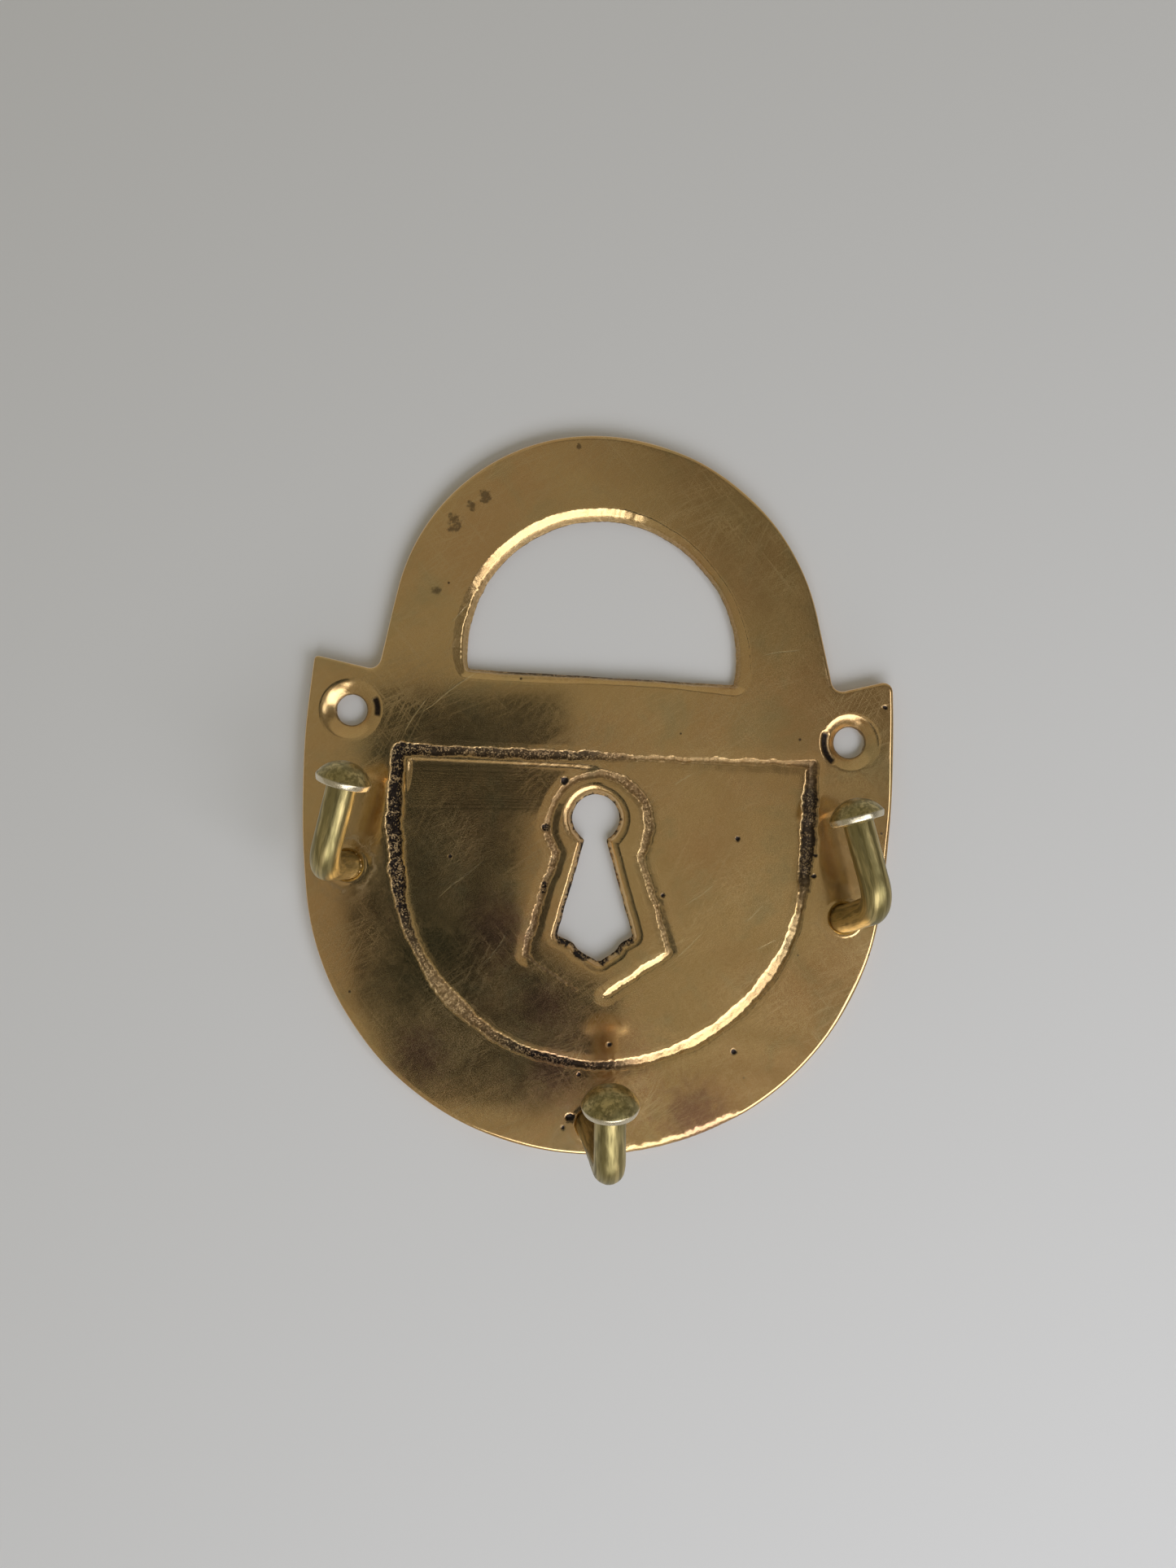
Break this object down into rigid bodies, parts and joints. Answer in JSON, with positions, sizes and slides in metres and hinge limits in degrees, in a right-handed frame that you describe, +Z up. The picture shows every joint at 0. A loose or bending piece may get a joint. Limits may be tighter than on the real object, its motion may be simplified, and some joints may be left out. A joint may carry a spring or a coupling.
{
  "type": "key rack",
  "caption": "Flat brass wall plate in the shape of a padlock, with rivets bent into hooks for hanging keys.",
  "frame": {"origin": "the point of the flat back face midway between the two screw holes", "axes": "+Y points out of the back face into the wall, the front faces -Y, +Z is up the wall towards the shackle, +X is to the right as seen from the room"},
  "size_m": [0.106, 0.0356, 0.1293],
  "materials": {
    "plate_brass": "cast brass, polished by hand, lightly tarnished, with fine scratches",
    "hook_brass": "drawn brass, worn bright, with lengthways draw marks"
  },
  "bodies": {
    "root": {"backplate": "plate_brass", "hook_left": "hook_brass", "hook_right": "hook_brass", "hook_bottom": "hook_brass"}
  },
  "joints": []
}
